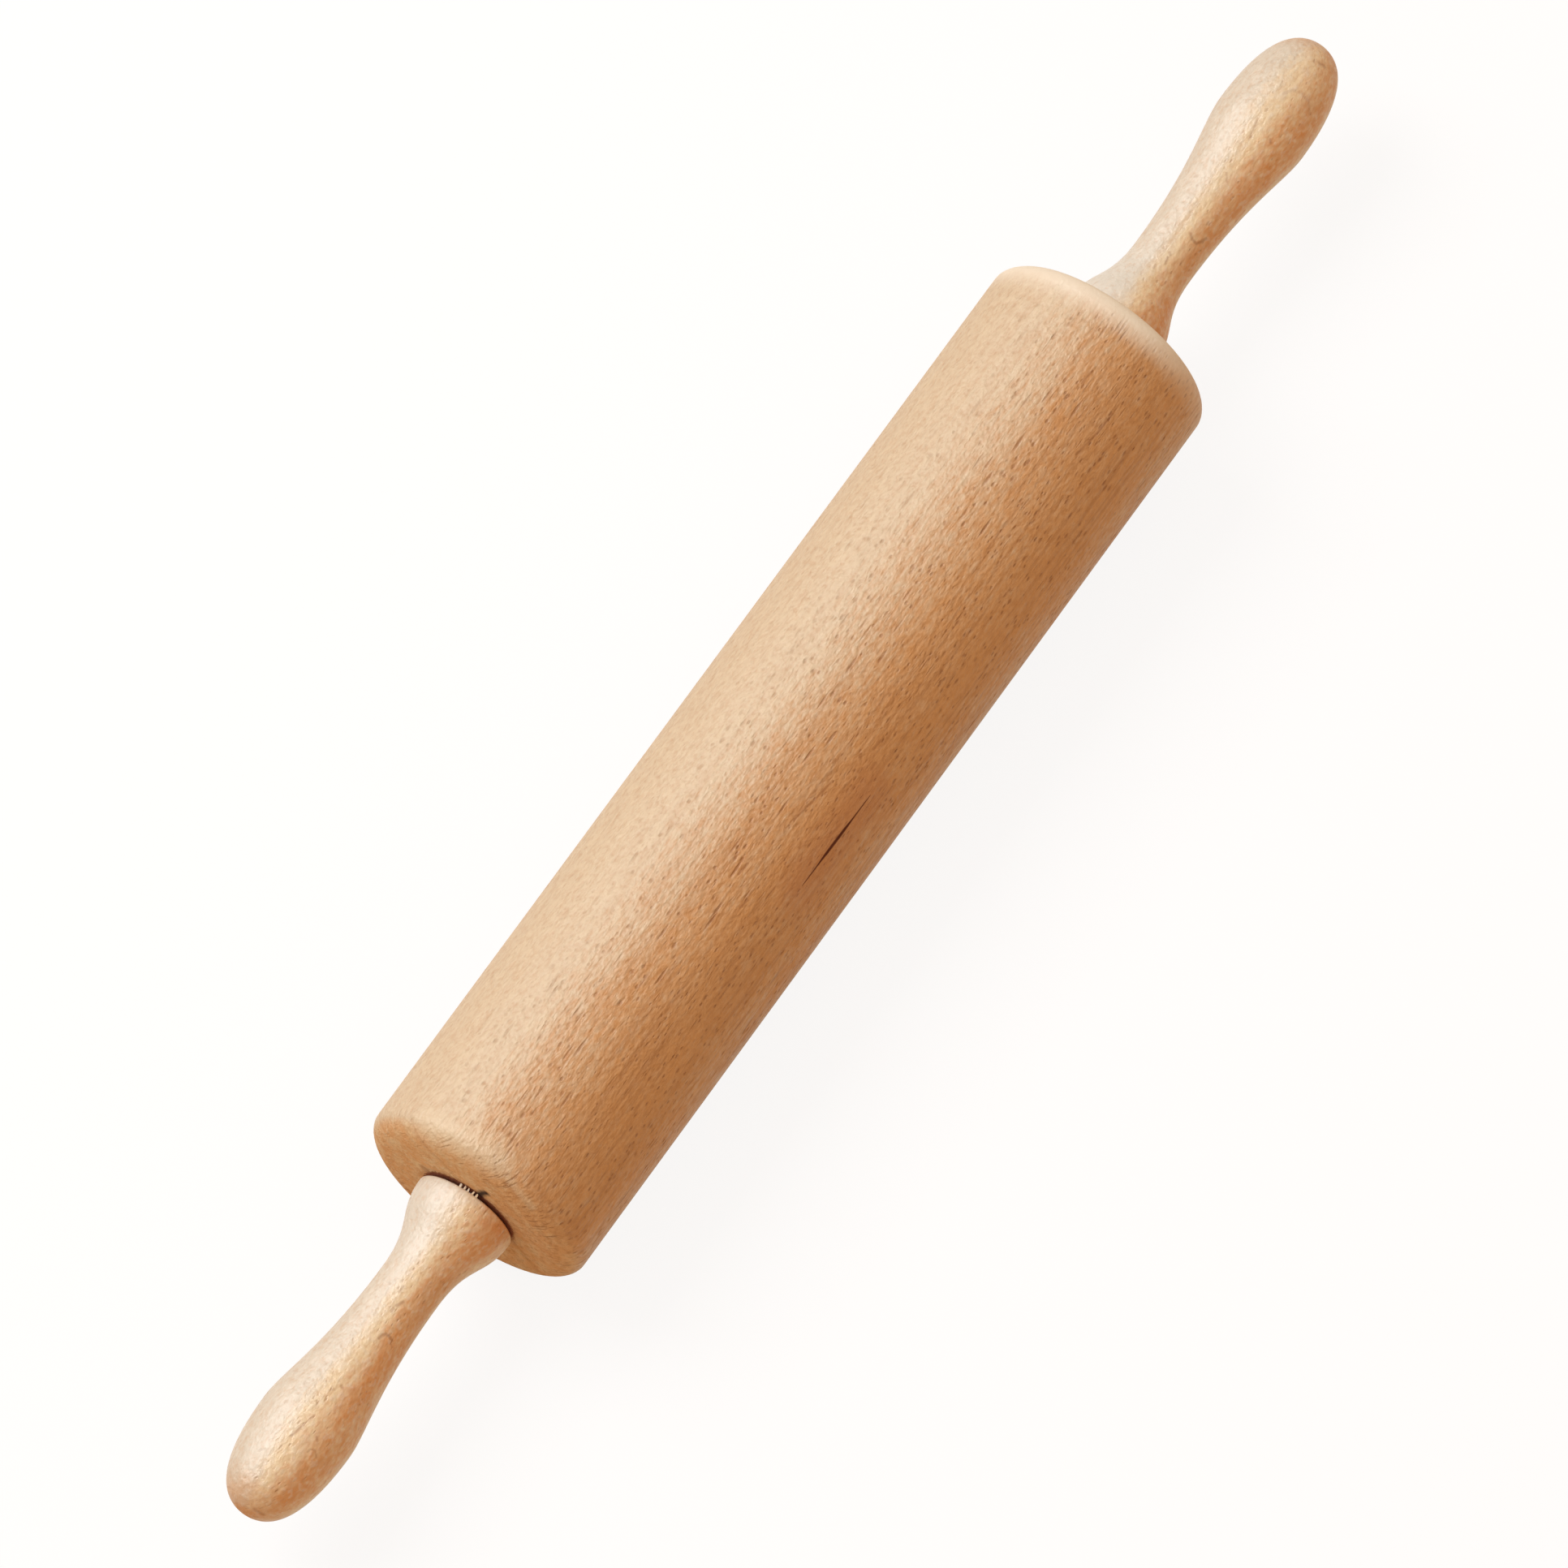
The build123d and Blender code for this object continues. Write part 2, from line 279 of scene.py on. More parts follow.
# The far rim's pale band is a painted highlight, set by depth and radius and fading towards the lower right.
RIM_DEPTHS, RIM_RADII = (13.0, 2.5), (24.5, 29.5)
RIM_RAGGED_ALONG, RIM_RAGGED_OUT = 2.5, 3.0
RIM_HIGHLIGHT_FADE, RIM_SMOOTHING = (6.0, 34.0, 1.0, 0.35), 0.8
PALE_BAND_AND_GRAIN_SHARE, PALE_BAND_AND_GRAIN_RAGGED = 0.8, 0.8
BARREL_MARK_SHARE, MARK_RAGGED = 0.75, 0.2
STAIN_HALF_WIDTH, STAIN_RAGGED, STAIN_SHARE = 9.0, 7.0, 0.4
SPLIT_HALF_WIDTH, SPLIT_ENDS_SHARE = 0.34, 0.85
DARKEST_HALF_WIDTH, SPLIT_SHARE = 0.62, 0.95
# The dark ring on the barrel's near end behind the handle's base is painted shade in the gap.
GAP_SHADE_RADII, GAP_SHADE_DEPTHS, GAP_SHADE_RAGGED, GAP_SHADE_AND_BLOT_SHARE = (15.4, 14.3), (0.7, 0.2), 2.4, 0.95
BLOT_HALF_WIDTH, BLOT_RAGGED = 1.3, 0.3

# The handles' own changes. Tip depths are measured from a handle's end, and flare lengths from its base.
TIP_DEPTHS, TIP_RAGGED, TIP_SHARE = (11.2, -0.8), 10.0, 0.7
# The pale patch on the flare's upper left side is a painted highlight.
FLARE_LENGTHS, FLARE_RAGGED_ALONG = (36.8, 8.8), 12.0
FLARE_SIDE_RANGE, FLARE_RAGGED_ACROSS = (2.0, -7.0), 8.0
HANDLE_DARKER, HANDLE_PALER = 0.2, 0.28
HANDLE_MARK_SHARE, HANDLE_MARK_ROUGHNESS, HANDLE_MARK_DEPTH = 0.62, 0.3, 0.08
HANDLE_GRAIN_RELIEF, HANDLE_DAPPLE_RELIEF = 0.6, 0.45
COAT_WEIGHT, COAT_ROUGHNESS = 0.12, 0.36

# Metals and nylon: how many tool marks or grains there are per millimetre, along the pin and across it
Metal = namedtuple("Metal", "name colour roughness along across")
METALS = {
    "bright_steel": Metal("drawn_steel", (0.56, 0.57, 0.58), 0.28, 0.3, 6.0),
    "spring_steel": Metal("oiled_spring_steel", (0.13, 0.13, 0.15), 0.35, 1.0, 1.0),
    "bearing_steel": Metal("ground_steel", (0.66, 0.67, 0.69), 0.12, 8.0, 0.4),
    "shield_steel": Metal("pressed_steel", (0.50, 0.51, 0.52), 0.32, 1.0, 1.0),
    "insert_brass": Metal("machined_brass", (0.72, 0.50, 0.18), 0.25, 6.0, 0.3),
}
METAL_DARKENING = 0.72
TOOL_SHARE, CLOUD_SHARE = 0.5, 0.4
TOOL_ROUGHNESS, CLOUD_ROUGHNESS = 0.12, 0.08
NYLON_COLOUR, NYLON_DARKENING = (0.70, 0.65, 0.50), 0.8
NYLON_ROUGHNESS, SKIN_ROUGHNESS = 0.45, 0.12

# Torn fibres: how far a sliver's under and upper side are from the pin's axis, from its root inside the wood to
# its tip, with its width and lean there as shares. Each fibre's size strays by its own amount.
TORN_COUNT = 5
Section = namedtuple("Section", "low high width lean")
TORN_SECTIONS = (
    Section(13.7, 14.6, 1.0, 0.0),
    Section(14.0, 14.9, 0.9, 0.5),
    Section(14.5, 15.2, 0.6, 1.0),
)
TORN_ROOT, TORN_WAIST = -0.3, 0.3
TORN_LENGTH, LENGTH_STRAY, LENGTH_TURN = 0.80, 0.14, 3.1
TORN_HALF_WIDTH, WIDTH_STRAY, WIDTH_TURN = 0.29, 0.05, 1.7
LEAN_STRAY, LEAN_TURN = 0.012, 2.4

# Light and floor, in metres and watts, with colours as linear red, green, blue and alpha. A lamp's direction
# is given in the picture: right, up, towards the camera.
Lamp = namedtuple("Lamp", "name direction distance width height power")
KEY = Lamp("key", (-0.53, 0.575, 0.643), 1.6, 0.9, 0.9, 13.0)
GLEAM = Lamp("gleam", (-0.60, 0.565, 0.574), 1.2, 1.6, 1.2, 58.0)
ROOM_COLOUR, ROOM_STRENGTH = (1.0, 0.74, 0.52, 1.0), 0.6
WHITE_STRENGTH = 1.0
FLOOR_SIDE = 20.0
FLOOR_COLOUR = (0.66, 0.52, 0.38, 1.0)
FLOOR_SHADOW_COLOUR = (0.14, 0.14, 0.14, 1.0)
FLOOR_GLOW = 0.88
CLEAR = (1.0, 1.0, 1.0, 1.0)


class Field:
    """A number or vector that varies over a surface: an output socket with plain arithmetic."""

    def __init__(self, graph, socket):
        self.graph = graph
        self.socket = socket

    def __add__(self, other):
        return self.graph.math("ADD", self, other)

    def __radd__(self, other):
        return self.graph.math("ADD", other, self)

    def __sub__(self, other):
        return self.graph.math("SUBTRACT", self, other)

    def __rsub__(self, other):
        return self.graph.math("SUBTRACT", other, self)

    def __mul__(self, other):
        return self.graph.math("MULTIPLY", self, other)

    def __truediv__(self, other):
        return self.graph.math("DIVIDE", self, other)


class Graph:
    """The node tree of one material with one shader."""

    def __init__(self, name):
        self.material = bpy.data.materials.new(name)
        self.material.use_nodes = True
        self.tree = self.material.node_tree
        self.tree.nodes.clear()
        output = self.tree.nodes.new("ShaderNodeOutputMaterial")
        self.shader = self.tree.nodes.new("ShaderNodeBsdfPrincipled")
        self.tree.links.new(self.shader.outputs["BSDF"], output.inputs["Surface"])

    def feed(self, socket, value):
        """Link a field to a socket, or set the socket to a constant."""
        if isinstance(value, Field):
            self.tree.links.new(value.socket, socket)
        else:
            socket.default_value = value

    def set(self, **values):
        """Set the shader's own sockets, named with underscores for spaces."""
        for key, value in values.items():
            self.feed(self.shader.inputs[key.replace("_", " ")], value)

    def math(self, operation, a, b=None, clamp=False):
        """Arithmetic on one number or two."""
        node = self.tree.nodes.new("ShaderNodeMath")
        node.operation = operation
        node.use_clamp = clamp
        self.feed(node.inputs[0], a)
        if b is not None:
            self.feed(node.inputs[1], b)
        return Field(self, node.outputs[0])

    def length(self, a, b):
        """The length of a line with the legs a and b."""
        return self.math("SQRT", a * a + b * b)

    def vector_math(self, operation, a, b):
        """Arithmetic on two vectors, or on a vector and a scale."""
        node = self.tree.nodes.new("ShaderNodeVectorMath")
        node.operation = operation
        self.feed(node.inputs[0], a)
        self.feed(node.inputs["Scale" if operation == "SCALE" else 1], b)
        gives_number = operation in ("DOT_PRODUCT", "DISTANCE")
        return Field(self, node.outputs["Value" if gives_number else "Vector"])

    def vector(self, x, y, z):
        """A vector from three numbers."""
        node = self.tree.nodes.new("ShaderNodeCombineXYZ")
        for socket, value in zip(node.inputs, (x, y, z)):
            self.feed(socket, value)
        return Field(self, node.outputs[0])

    def parts(self, vector):
        """The three numbers of a vector."""
        node = self.tree.nodes.new("ShaderNodeSeparateXYZ")
        self.feed(node.inputs[0], vector)
        return [Field(self, output) for output in node.outputs]

    def place(self):
        """The place on the part, in millimetres."""
        coordinates = self.tree.nodes.new("ShaderNodeTexCoord")
        return self.vector_math("SCALE", Field(self, coordinates.outputs["Object"]), 1 / MM)

    def normal(self):
        """The way the part's surface faces."""
        coordinates = self.tree.nodes.new("ShaderNodeTexCoord")
        return Field(self, coordinates.outputs["Normal"])

    def mapped(self, vector, scale, shift):
        """A vector scaled each way and then shifted."""
        node = self.tree.nodes.new("ShaderNodeMapping")
        self.feed(node.inputs["Vector"], vector)
        node.inputs["Location"].default_value = shift
        node.inputs["Scale"].default_value = scale
        return Field(self, node.outputs[0])

    def noise(self, vector, kind, shift=(0.0, 0.0, 0.0)):
        """Smooth noise of one kind, from 0 to 1."""
        node = self.tree.nodes.new("ShaderNodeTexNoise")
        self.feed(node.inputs["Vector"], self.mapped(vector, kind.scale, shift))
        node.inputs["Scale"].default_value = 1.0
        node.inputs["Detail"].default_value = kind.detail
        node.inputs["Roughness"].default_value = kind.roughness
        node.inputs["Distortion"].default_value = kind.distortion
        return Field(self, node.outputs["Fac"])

    def cells(self, vector):
        """Distance from the nearest scattered point, and two random numbers of that point's own."""
        node = self.tree.nodes.new("ShaderNodeTexVoronoi")
        self.feed(node.inputs["Vector"], vector)
        node.inputs["Scale"].default_value = 1.0
        split = self.tree.nodes.new("ShaderNodeSeparateColor")
        self.tree.links.new(node.outputs["Color"], split.inputs[0])
        return [Field(self, output) for output in (node.outputs["Distance"], *split.outputs[:2])]

    def step(self, value, low, high, to_low=0.0, to_high=1.0):
        """A smooth step from to_low to to_high as the value goes from low to high."""
        node = self.tree.nodes.new("ShaderNodeMapRange")
        node.interpolation_type = "SMOOTHSTEP"
        ends = {"From Min": low, "From Max": high, "To Min": to_low, "To Max": to_high}
        for key, number in {"Value": value, **ends}.items():
            self.feed(node.inputs[key], number)
        return Field(self, node.outputs["Result"])

    def blend(self, share, a, b):
        """A colour between two colours or colour fields."""
        node = self.tree.nodes.new("ShaderNodeMix")
        node.data_type = "RGBA"
        self.feed(node.inputs["Factor"], share)
        first, second = (socket for socket in node.inputs if socket.type == "RGBA")
        for socket, value in ((first, a), (second, b)):
            self.feed(socket, value if isinstance(value, Field) else (*value, 1.0))
        return Field(self, next(socket for socket in node.outputs if socket.type == "RGBA"))

    def along(self, place, start, end):
        """How far along a line each place lies, from 0 to 1, and its distance from the line."""
        span = end - start
        offset = self.vector_math("SUBTRACT", place, start)
        share = self.vector_math("DOT_PRODUCT", offset, span / span.length_squared)
        share = self.math("ADD", share, 0.0, clamp=True)
        return share, self.vector_math("DISTANCE", offset, self.vector_math("SCALE", span, share))

    def stroke(self, place, path, half_width, wobble):
        """1 along a path of points, fading out across its half width."""
        nearest = None
        for start, end in zip(path, path[1:]):
            share, reach = self.along(place, start, end)
            nearest = reach if nearest is None else self.math("MINIMUM", nearest, reach)
        outer, inner = STROKE_FADE
        return self.step(nearest + wobble, half_width * outer, half_width * inner)

    def lens(self, place, start, end, half_width):
        """1 along a straight line, widest at its middle and pointed at both ends."""
        share, reach = self.along(place, start, end)
        open_width = self.math("SQRT", share * (1.0 - share)) * (2.0 * half_width) + LENS_LEAST_WIDTH
        return self.step(reach / open_width, *LENS_FADE)

    def strokes(self, node, place, marks, wobble):
        """The strongest of several marks that lie on a part."""
        total = 0.0
        for mark in marks:
            path = [on_part(node, pixel) for pixel in mark.pixels]
            stroke = self.stroke(place, path, mark.half_width, wobble)
            total = self.math("MAXIMUM", stroke * mark.strength, total)
        return total

    def finish(self, relief, depth):
        """The material, shaded as if its surface rose by depth, in metres, where the relief is 1."""
        node = self.tree.nodes.new("ShaderNodeBump")
        node.inputs["Distance"].default_value = depth
        self.feed(node.inputs["Height"], relief)
        for key in ("Normal", "Coat Normal"):
            self.tree.links.new(node.outputs["Normal"], self.shader.inputs[key])
        return self.material


def view_axes():
    """The camera's right, up and backward directions, for a pin tilted and sloped as photographed."""
    turn = -asin(sqrt(1 - (cos(TILT) * cos(SLOPE)) ** 2))
    elevation = asin(cos(TILT) * sin(SLOPE) / -sin(turn))
    right = Vector((cos(turn), sin(turn), 0))
    back = Vector((sin(turn) * cos(elevation), -cos(turn) * cos(elevation), sin(elevation)))
    return right, back.cross(right), back


def pin_axes():
    """The direction across the pin to its lower right in the picture, and the one out towards the camera."""
    along = Vector((1, 0, 0))
    back = view_axes()[2]
    towards = (back - back.dot(along) * along).normalized()
    return along.cross(towards).normalized(), towards


ACROSS, TOWARDS = pin_axes()


def on_picture(pixel, origin):
    """How far a pixel lies from another on the plane through the pin, in metres."""
    right, up = view_axes()[:2]
    return right * ((pixel[0] - origin[0]) * PIXEL) - up * ((pixel[1] - origin[1]) * PIXEL)


def camera_place():
    """The camera's place: straight back from what the middle of the picture shows."""
    middle = (IMAGE_SIDE / 2, IMAGE_SIDE / 2)
    return on_picture(middle, BARREL_CENTRE_PIXEL) + view_axes()[2] * VIEW_DISTANCE


def sight_line(pixel):
    """The camera's place and the direction of the sight line through a pixel."""
    eye = camera_place()
    return eye, (on_picture(pixel, BARREL_CENTRE_PIXEL) - eye).normalized()


def on_part(node, pixel):
    """The point of a part's surface, in millimetres, that a pixel shows."""
    eye, sight = sight_line(pixel)
    hit, point = frame["nodes"][node].ray_cast(eye, sight)[:2]
    if not hit:
        raise ValueError("pixel %s misses %s" % (pixel, node))
    return point / MM


def on_face(pixel, x):
    """Where the sight line through a pixel meets the plane square to the pin at x, in millimetres."""
    eye, sight = sight_line(pixel)
    return eye / MM + sight * ((x - eye.x / MM) / sight.x)


def section_point(across, towards):
    """The Y and Z, in millimetres, of a point of the pin's cross section given along those directions."""
    point = ACROSS * across + TOWARDS * towards
    return point.y, point.z


def late_wood_share(g, x, radius, look):
    """How far each place is into the darker late wood of its ring, in rings of uneven strength."""
    phase = radius / look["ring_width"]
    within = g.math("FRACT", phase)
    share = g.step(within, *LATE_WOOD_RISE) * g.step(within, *LATE_WOOD_FALL)
    ring = g.vector(g.math("FLOOR", phase), 0.0, x)
    strength = g.noise(ring, RING_STRENGTH, (0.0, look["seed"], 0.0))
    return share * g.step(strength, *RING_STRENGTH_RANGE)


def ray_share(g, rolled, look):
    """The strongest ray's share at each place along the pin, outwards from the pith and round it."""
    crowd = g.noise(rolled, RAY_CROWDS, (0.0, look["seed"], 0.0))
    strongest = 0.0
    for kind in look["rays"]:
        per_millimetre = [1.0 / spacing for spacing in kind.spacing]
        near, chance, weight = g.cells(g.mapped(rolled, per_millimetre, (look["seed"], 0.0, 0.0)))
        spot = g.step(near / ((weight * RAY_SIZE_SPREAD + RAY_LEAST_SIZE) * kind.size), *RAY_EDGE)
        threshold = 1.0 - g.step(crowd, *RAY_CROWD_RANGE) * kind.presence
        spot = spot * g.step(chance, threshold, threshold + RAY_CHANCE_SOFTNESS)
        strongest = g.math("MAXIMUM", spot * (weight * RAY_WEIGHT_SPREAD + RAY_LEAST_WEIGHT), strongest)
    return strongest


def wood(name, look):
    """Beech: rings round an off-centre pith, and rays that show as dashes or soft flakes."""
    g = Graph(name)
    place = g.place()
    x, y, z = g.parts(place)
    shift_x, shift_y = (look["seed"], 0.0, 0.0), (0.0, look["seed"], 0.0)

    pith_y, pith_z = section_point(*look["pith"])
    pith_reach = sqrt(pith_y ** 2 + pith_z ** 2)
    out_y, out_z = -pith_y / pith_reach, -pith_z / pith_reach
    side, rise = y - pith_y, z - pith_z
    wave = g.noise(place, WAVE, shift_x) - NOISE_MIDDLE
    ripple = g.noise(place, RIPPLE, shift_y) - NOISE_MIDDLE
    from_pith = g.length(side, rise)
    radius = from_pith + wave * RING_WAVE + ripple * RING_RIPPLE
    turn = g.math("ARCTAN2", rise * out_y - side * out_z, side * out_y + rise * out_z)
    arc = turn * pith_reach + wave * RAY_WAVE + ripple * RAY_RIPPLE
    rolled = g.vector(x, radius, arc)
    late_wood = late_wood_share(g, x, radius, look)
    rays = ray_share(g, rolled, look)

    normal_x, normal_y, normal_z = g.parts(g.normal())
    facing = g.math("SQRT", g.math("MAXIMUM", normal_y * normal_y + normal_z * normal_z, LEAST_FACING))
    flat_cut = g.math("ABSOLUTE", (normal_y * side + normal_z * rise) / (from_pith * facing))
    end_cut = g.step(g.math("ABSOLUTE", normal_x), *look["end_range"])

    patches = g.noise(rolled, PATCHES, shift_x)
    pebble = g.noise(place, PEBBLE, shift_y)
    flakes = g.noise(place, FLAKES, shift_x)
    fibre = g.noise(place, FIBRE, shift_x)
    bloom = g.noise(place, BLOOM, shift_x)
    patch_swing, pebble_swing = patches - NOISE_MIDDLE, pebble - NOISE_MIDDLE

    # Pale, mid and tan follow the cut round the placed pith: partly grain, partly painted light and shade. On
    # the handles the mid colour is a painted highlight band.
    tone = flat_cut + patch_swing * TONE_PATCHES + pebble_swing * look["mottle"]
    tone = tone + (fibre - NOISE_MIDDLE) * look["streak"]
    tan = g.step(tone, *look["tan_range"])
    colour = g.blend(g.step(tone, *look["mid_range"]), look["pale"], look["mid"])
    colour = g.blend(tan, colour, look["tan"])
    bloomed = g.step(bloom + pebble_swing * BLOOM_PEBBLE, *BLOOM_RANGE)
    colour = g.blend(bloomed * (BLOOM_SHARE - tan * BLOOM_TAN_LOSS), colour, look["light"])
    flaked = g.step(flakes + pebble_swing * FLAKE_PEBBLE, *FLAKE_RANGE)
    colour = g.blend(flaked * FLAKE_SHARE, colour, look["late"])
    fibrous = g.step(fibre, *FIBRE_RANGE)
    colour = g.blend(fibrous * (tan * look["streak"] + FIBRE_SHARE), colour, look["late"])
    colour = g.blend(late_wood * g.step(flat_cut, *LATE_WOOD_SHARES), colour, look["late"])
    end_light = g.step(bloom + patch_swing * END_PATCHES, *END_LIGHT_RANGE)
    colour = g.blend(end_cut, colour, g.blend(end_light, look["end"], look["end_light"]))
    colour = g.blend(late_wood * end_cut * END_LATE_WOOD_SHARE, colour, look["late"])
    ray_showing = rays * g.step(flat_cut, *look["ray_range"], PALE_RAY_SHARE, look["ray_share"])
    colour = g.blend(ray_showing, colour, FLECK_COLOUR)

    relief = pebble * RELIEF_PEBBLE + flakes * RELIEF_FLAKES - fibre * look["grain"]
    relief = relief - rays * g.step(flat_cut, *RELIEF_RAYS) - late_wood * RELIEF_LATE_WOOD
    roughness = look["roughness"] + pebble * ROUGH_PEBBLE + rays * ROUGH_RAYS + end_cut * ROUGH_END
    g.set(Specular_IOR_Level=look["specular"])
    return g, place, colour, roughness, relief


def dappled(g, place, colour, look, darker, paler):
    """Small paler and darker dapples all over, by the shares given, and their height."""
    dapple = g.noise(place, DAPPLE, (look["seed"], 0.0, 0.0))
    colour = g.blend(g.step(dapple, *DAPPLE_DARK_RANGE) * darker, colour, look["late"])
    return g.blend(g.step(dapple, *DAPPLE_LIGHT_RANGE) * paler, colour, look["light"]), dapple


def gap_shade_and_blot(g, place):
    """Painted shade on the near end of the barrel behind the handle's base, in the gap between them, with a
    blot that runs out from it.
    """
    x, y, z = g.parts(place)
    ragged = g.noise(place, GAP_SHADE_AND_BLOT_EDGE) - NOISE_MIDDLE
    ring = g.step(g.length(y, z) + ragged * GAP_SHADE_RAGGED, *GAP_SHADE_RADII)
    ring = ring * g.step(x, *(BARREL_END + depth for depth in GAP_SHADE_DEPTHS))
    path = [on_part("barrel", pixel) for pixel in BLOT]
    return ring, g.stroke(place, path, BLOT_HALF_WIDTH, ragged * BLOT_RAGGED)


def barrel_split(g, place, colour):
    """The dark split in the barrel's side, in a stained patch, and how open it is."""
    start, end = (on_part("barrel", pixel) for pixel in SPLIT_ENDS)
    edge = g.noise(place, STAIN_EDGE) - NOISE_MIDDLE
    stain = g.stroke(place, (start, end), STAIN_HALF_WIDTH, edge * STAIN_RAGGED)
    colour = g.blend(stain * STAIN_SHARE, colour, STAIN_COLOUR)
    split = g.lens(place, start, end, SPLIT_HALF_WIDTH) * SPLIT_ENDS_SHARE
    start, end = (on_part("barrel", pixel) for pixel in SPLIT_DARKEST)
    split = g.math("MAXIMUM", split, g.lens(place, start, end, DARKEST_HALF_WIDTH))
    return g.blend(split * SPLIT_SHARE, colour, SPLIT_COLOUR), split


def barrel_material():
    """The barrel's beech, with its streaks, painted shade on its lower right side, a painted highlight on its
    far rim, marks, split, painted shade in the gap behind the near handle, and a blot.
    """
    g, place, colour, roughness, relief = wood("barrel_beech", BARREL_LOOK)
    x, y, z = g.parts(place)
    lower_right = y * ACROSS.y + z * ACROSS.z
    # Painted shade, partly grain: the lower right side, away from the light, gets more dark streaks and darker
    # dapples and fewer pale ones.
    shaded_side = g.step(lower_right, *SHADED_SIDE_RANGE)
    streaked = g.step(g.noise(place, STREAKS), *STREAK_RANGE)
    colour = g.blend(streaked * (shaded_side * STREAK_SHADED_GAIN + STREAK_SHARE), colour, FLECK_COLOUR)
    darker = shaded_side * BARREL_DARKER_SHADED_GAIN + BARREL_DARKER
    paler = BARREL_PALER - shaded_side * BARREL_PALER_SHADED_LOSS
    colour, dapple = dappled(g, place, colour, BARREL_LOOK, darker, paler)

    raggedness = g.noise(place, RAGGED_NOISE) - NOISE_MIDDLE
    # A painted highlight on the far rim, fading towards the lower right, with a smoother relief under it.
    rim = g.step(x + raggedness * RIM_RAGGED_ALONG, *(-BARREL_END - depth for depth in RIM_DEPTHS))
    rim = rim * g.step(g.length(y, z) + raggedness * RIM_RAGGED_OUT, *RIM_RADII)
    colour = g.blend(rim * g.step(lower_right, *RIM_HIGHLIGHT_FADE), colour, RIM_HIGHLIGHT_COLOUR)

    # A painted highlight along the near rim's lit rounding, and pale ring lines.
    pale_band_and_grain = g.strokes("barrel", place, PALE_END_GRAIN_AND_RIM_HIGHLIGHT, raggedness * PALE_BAND_AND_GRAIN_RAGGED)
    colour = g.blend(pale_band_and_grain * PALE_BAND_AND_GRAIN_SHARE, colour, BARREL_LIGHT)
    marks = g.strokes("barrel", place, BARREL_MARKS, raggedness * MARK_RAGGED)
    colour = g.blend(marks * BARREL_MARK_SHARE, colour, FLECK_COLOUR)
    colour, split = barrel_split(g, place, colour)
    ring, blot = gap_shade_and_blot(g, place)
    # Painted shade in the gap behind the near handle, then the dark blot.
    colour = g.blend(ring * GAP_SHADE_AND_BLOT_SHARE, colour, GAP_SHADE_COLOUR)
    colour = g.blend(blot * GAP_SHADE_AND_BLOT_SHARE, colour, BLOT_COLOUR)
    g.set(Base_Color=colour, Roughness=g.math("MINIMUM", roughness + split + ring + blot, 1.0))
    return g.finish((relief + dapple * BARREL_DAPPLE_RELIEF) * (1.0 - rim * RIM_SMOOTHING), WOOD_RELIEF)


def handle_material(node, look, marks):
    """A handle's beech, darker at its tip, with a painted highlight on one side of its flare, marked, and
    faintly polished.
    """
    g, place, colour, roughness, relief = wood(node + "_beech", look)
    x, y, z = g.parts(place)
    from_middle = g.math("ABSOLUTE", x)
    lower_right = y * ACROSS.y + z * ACROSS.z
    lumps = g.noise(place, LUMPS, (look["seed"], 0.0, 0.0))
    swing = lumps - NOISE_MIDDLE
    tip = g.step(from_middle + swing * TIP_RAGGED, *(-HANDLE_END - depth for depth in TIP_DEPTHS))
    colour = g.blend(tip * TIP_SHARE, colour, HANDLE_TIP_COLOUR)
    # A painted highlight on the upper left side of the flare.
    flare_ends = (length - HANDLE_BASE for length in FLARE_LENGTHS)
    flare = g.step(from_middle + swing * FLARE_RAGGED_ALONG, *flare_ends)
    flare = flare * g.step(lower_right + swing * FLARE_RAGGED_ACROSS, *FLARE_SIDE_RANGE)
    colour = g.blend(flare * look["flare_highlight_share"], colour, FLARE_HIGHLIGHT_COLOUR)
    colour, dapple = dappled(g, place, colour, look, HANDLE_DARKER, HANDLE_PALER)
    strokes = g.strokes(node, place, marks, swing * MARK_RAGGED)
    colour = g.blend(strokes * HANDLE_MARK_SHARE, colour, FLECK_COLOUR)
    roughness = roughness + strokes * HANDLE_MARK_ROUGHNESS
    g.set(Base_Color=colour, Roughness=g.math("MINIMUM", roughness, 1.0))
    g.set(Coat_Weight=COAT_WEIGHT, Coat_Roughness=COAT_ROUGHNESS)
    relief = relief * HANDLE_GRAIN_RELIEF + dapple * HANDLE_DAPPLE_RELIEF + lumps
    return g.finish(relief - strokes * HANDLE_MARK_DEPTH, WOOD_RELIEF)


def metal(kind):
    """Worked metal: fine streaks round the axis and small changes of polish."""
    g = Graph(kind.name)
    place = g.place()
    tool = g.noise(place, Noise((kind.along, kind.across, kind.across)))
    cloud = g.noise(place, CLOUD)
    darker = tuple(METAL_DARKENING * c for c in kind.colour)
    g.set(Base_Color=g.blend(tool * TOOL_SHARE + cloud * CLOUD_SHARE, kind.colour, darker), Metallic=1.0)
    g.set(Roughness=kind.roughness + tool * TOOL_ROUGHNESS + cloud * CLOUD_ROUGHNESS)
    return g.finish(tool, WORKED_RELIEF)


def nylon():
    """Moulded nylon: faintly cloudy, with a fine pebbled skin."""
    g = Graph("moulded_nylon")
    place = g.place()
    skin = g.noise(place, NYLON_SKIN)
    darker = tuple(NYLON_DARKENING * c for c in NYLON_COLOUR)
    g.set(Base_Color=g.blend(g.noise(place, NYLON_CLOUD), NYLON_COLOUR, darker))
    g.set(Roughness=NYLON_ROUGHNESS + skin * SKIN_ROUGHNESS)
    return g.finish(skin, WORKED_RELIEF)


